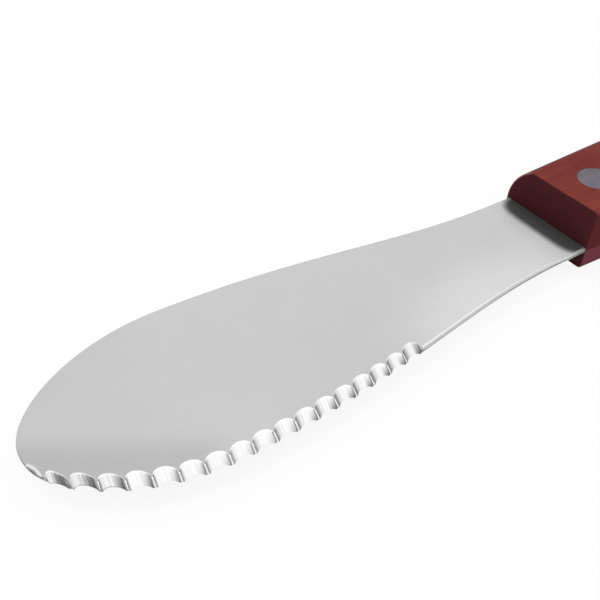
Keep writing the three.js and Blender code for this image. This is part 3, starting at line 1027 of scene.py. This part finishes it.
def ground_colour(nodes, cut_lines, edge_run, painted_shade_and_frost, frost):
    """Colour of the ground scallops with their scored lines, painted shade on their shoulders and
    frosted walls.
    """
    scoring = nodes.times(nodes.ramp(edge_run, *SCORING_BEGINS),
                          nodes.ramp(edge_run, *SCORING_ENDS, 1.0, 0.0))
    scored = nodes.mix(scoring, GROUND_LINES, SCORED_LINES)
    bright = nodes.mix(nodes.ramp(cut_lines, 0.35, 0.6), scored, GROUND_BRIGHT)
    bright = nodes.mix(painted_shade_and_frost, bright, GROUND_PAINTED_SHADE)
    return nodes.mix(frost, bright, GROUND_BRIGHT)


def blade_finish(brushed):
    """Satin sheet with bright ground scallops whose grinding lines run down the bevel."""
    material, nodes, shader = new_material("satin_and_ground_steel")
    lines = place_group(nodes, brushed, Stretch=(160.0, 7000.0, 7000.0), Cloud_size=90.0)
    # Painted shade and frost of the grooves are read from the mesh
    ground, painted_shade_and_frost, edge_run = (nodes.add("ShaderNodeAttribute", attribute_name=name).outputs["Fac"]
                              for name in ("ground", "painted_shade_and_frost", "edge_run"))
    separate = nodes.add("ShaderNodeSeparateXYZ")
    nodes.join(nodes.add("ShaderNodeTexCoord").outputs["Object"], separate.inputs[0])
    place = separate.outputs
    from_handle = nodes.math("SUBTRACT", FRONT, place["X"])
    # Mask of the neck: painted light in the colour, and a lower metallic share
    neck = nodes.ramp(from_handle, STRIP_LENGTH, NECK_POLISH, 1.0, 0.0)
    frost = nodes.ramp(painted_shade_and_frost, -0.7, -0.1, 1.0, 0.0)

    grinding = nodes.add("ShaderNodeTexNoise", noise_dimensions="1D")
    nodes.join(edge_run, grinding.inputs["W"])
    grinding.inputs["Scale"].default_value = GRINDING_LINES_PER_MM
    grinding.inputs["Detail"].default_value = 3.0
    grinding.inputs["Roughness"].default_value = 0.7
    in_scallop = nodes.ramp(ground, 0.955, 0.995)
    cut_lines = nodes.between(in_scallop, 0.62, grinding.outputs[0])

    satin = satin_colour(nodes, lines, place, from_handle, neck)
    bright = ground_colour(nodes, cut_lines, edge_run, painted_shade_and_frost, frost)
    nodes.join(nodes.mix(ground, satin, bright), shader.inputs["Base Color"])

    satin_metal = nodes.between(neck, 0.55, 0.3)
    ground_metal = nodes.between(frost, 1.0, 0.1)
    nodes.join(nodes.between(ground, satin_metal, ground_metal), shader.inputs["Metallic"])

    satin_rough = nodes.ramp(lines["Lines"], 0.2, 0.8, 0.38, 0.46)
    ground_rough = nodes.ramp(cut_lines, 0.3, 0.7, 0.26, 0.14)
    nodes.join(nodes.between(ground, satin_rough, ground_rough), shader.inputs["Roughness"])

    satin_height = nodes.math("SUBTRACT", nodes.times(lines["Lines"], 0.25), lines["Scratches"])
    height = nodes.between(ground, satin_height, nodes.times(cut_lines, 2.5))
    bumped(nodes, shader, height, METAL_RELIEF)
    return material


def wood_finish(name, grain, shift, dark, light, painted_side_tone, end_grain_and_shade):
    """Red-brown stained wood, darker in its pores, with painted shade on its sides, end grain darker
    from the stain and from painted shade, and a painted highlight on the far edge of its front.
    """
    material, nodes, shader = new_material(name)
    marks = place_group(nodes, grain, Shift=shift)
    colour = nodes.mix(marks["Tone"], dark, light)
    for mark, share, over in (
        ("Pores", 0.45, PORE_COLOUR),
        # painted shade on the sides
        ("Side grain", 0.75, painted_side_tone),
        # end grain, darker from the stain and from painted shade
        ("End grain", 0.92, end_grain_and_shade),
        # painted highlight on the far edge of the front
        ("Rubbed", 0.6, PAINTED_RIM_HIGHLIGHT),
    ):
        colour = nodes.mix(nodes.times(marks[mark], share), colour, over)
    nodes.join(colour, shader.inputs["Base Color"])
    shader.inputs["Specular IOR Level"].default_value = WOOD_SPECULAR
    smooth = nodes.ramp(marks["Tone"], 0.0, 1.0, 0.44, 0.36)
    rough = nodes.math("ADD", smooth, nodes.times(marks["Pores"], 0.2))
    nodes.join(rough, shader.inputs["Roughness"])
    bumped(nodes, shader, marks["Height"], WOOD_RELIEF)
    return material


def rivet_finish(brushed):
    """Dull grey rivet metal, ground flush with the wood."""
    material, nodes, shader = new_material("dull_rivet_metal")
    shader.inputs["Metallic"].default_value = 1.0
    lines = place_group(nodes, brushed, Stretch=(900.0, 6000.0, 6000.0), Cloud_size=500.0)
    colour = nodes.mix(nodes.ramp(lines["Clouds"], 0.3, 0.7), *RIVET_CLOUDS)
    colour = nodes.mix(nodes.times(lines["Scratches"], 0.4), colour, RIVET_SCRATCHES)
    nodes.join(colour, shader.inputs["Base Color"])
    nodes.join(nodes.ramp(lines["Lines"], 0.2, 0.8, 0.38, 0.52), shader.inputs["Roughness"])
    height = nodes.math("SUBTRACT", nodes.times(lines["Lines"], 0.4), lines["Scratches"])
    bumped(nodes, shader, height, METAL_RELIEF)
    return material


# Studio

def make_floor():
    """White table that keeps a faint shadow of the knife."""
    corners = [(TABLE_HALF * x, TABLE_HALF * y, 0.0) for x, y in ((-1, -1), (1, -1), (1, 1), (-1, 1))]
    mesh = mesh_from("table", corners, [(0, 1, 2, 3)])
    floor = link("table", mesh)
    material = bpy.data.materials.new("white_table")
    material.use_nodes = True
    tree = material.node_tree
    tree.nodes.clear()
    nodes = Nodes(tree)
    paper = nodes.add("ShaderNodeBsdfDiffuse")
    paper.inputs["Color"].default_value = TABLE_PAPER
    glow = nodes.add("ShaderNodeEmission")
    rays = nodes.add("ShaderNodeLightPath")
    seen = nodes.math("MAXIMUM", rays.outputs["Is Camera Ray"], rays.outputs["Is Glossy Ray"])
    seen = nodes.math("MAXIMUM", seen, rays.outputs["Is Transmission Ray"])
    mixed = nodes.add("ShaderNodeMixShader")
    nodes.join(nodes.times(seen, TABLE_WHITE), mixed.inputs[0])
    nodes.join(paper.outputs[0], mixed.inputs[1])
    nodes.join(glow.outputs[0], mixed.inputs[2])
    nodes.join(mixed.outputs[0], nodes.add("ShaderNodeOutputMaterial").inputs[0])
    mesh.materials.append(material)


def make_world():
    """Soft light from all sides, dim at the horizon and strongest overhead."""
    world = bpy.data.worlds.new("studio")
    bpy.context.scene.world = world
    world.use_nodes = True
    tree = world.node_tree
    tree.nodes.clear()
    nodes = Nodes(tree)
    towards = nodes.add("ShaderNodeTexCoord").outputs["Generated"]

    def light(direction, begin, full, dim, strong):
        facing = nodes.add("ShaderNodeVectorMath", operation="DOT_PRODUCT")
        nodes.join(towards, facing.inputs[0])
        facing.inputs[1].default_value = Vector(direction).normalized()
        return nodes.ramp(facing.outputs["Value"], begin, full, dim, strong)

    sky = nodes.add("ShaderNodeBackground")
    sky.inputs["Color"].default_value = (1.0, 1.0, 1.0, 1.0)
    strength = nodes.math("ADD", light(*BROAD_LIGHT), light(*OVERHEAD_LIGHT))
    nodes.join(strength, sky.inputs["Strength"])
    nodes.join(sky.outputs[0], nodes.add("ShaderNodeOutputWorld").inputs[0])


def make_camera():
    """The camera in the place that the photograph was taken from."""
    lens = bpy.data.cameras.new("view")
    lens.lens = CAMERA_LENS
    lens.sensor_width = CAMERA_SENSOR
    lens.clip_start = CAMERA_NEAREST
    camera = link("view", lens)
    camera.location = CAMERA_PLACE
    aim = Vector(CAMERA_AIM) - Vector(CAMERA_PLACE)
    camera.rotation_euler = aim.to_track_quat("-Z", "Y").to_euler()
    bpy.context.scene.camera = camera


def dress(piece, material, node):
    """Gives a piece its finish and puts it in the place of its solid."""
    piece.data.materials.clear()
    piece.data.materials.append(material)
    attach(piece, "root")
    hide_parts(node)


make_camera()
make_world()
make_floor()

brushed = brushed_group()
grain = grain_group()
steel = blade_finish(brushed)
upper_wood = wood_finish("upper_stained_wood", grain, (0.0, 0.0, 0.0), *UPPER_STAIN_AND_SHADE)
lower_wood = wood_finish("lower_stained_wood", grain, (0.31, 0.17, 0.05), *LOWER_STAIN_AND_SHADE)
rivet_metal = rivet_finish(brushed)

holes = [stepped_hole(place) for place in RIVET_PLACES]
dress(make_blade(holes), steel, "blade")
upper_scale, lower_scale = make_scales(holes)
dress(upper_scale, upper_wood, "upper_scale")
dress(lower_scale, lower_wood, "lower_scale")
for place in RIVET_PLACES:
    dress(make_sleeve(place), rivet_metal, f"{place}_rivet_sleeve")
    dress(make_post(place), rivet_metal, f"{place}_rivet_post")
for hole in holes:
    bpy.data.objects.remove(hole)

bpy.context.scene.view_settings.view_transform = "Standard"
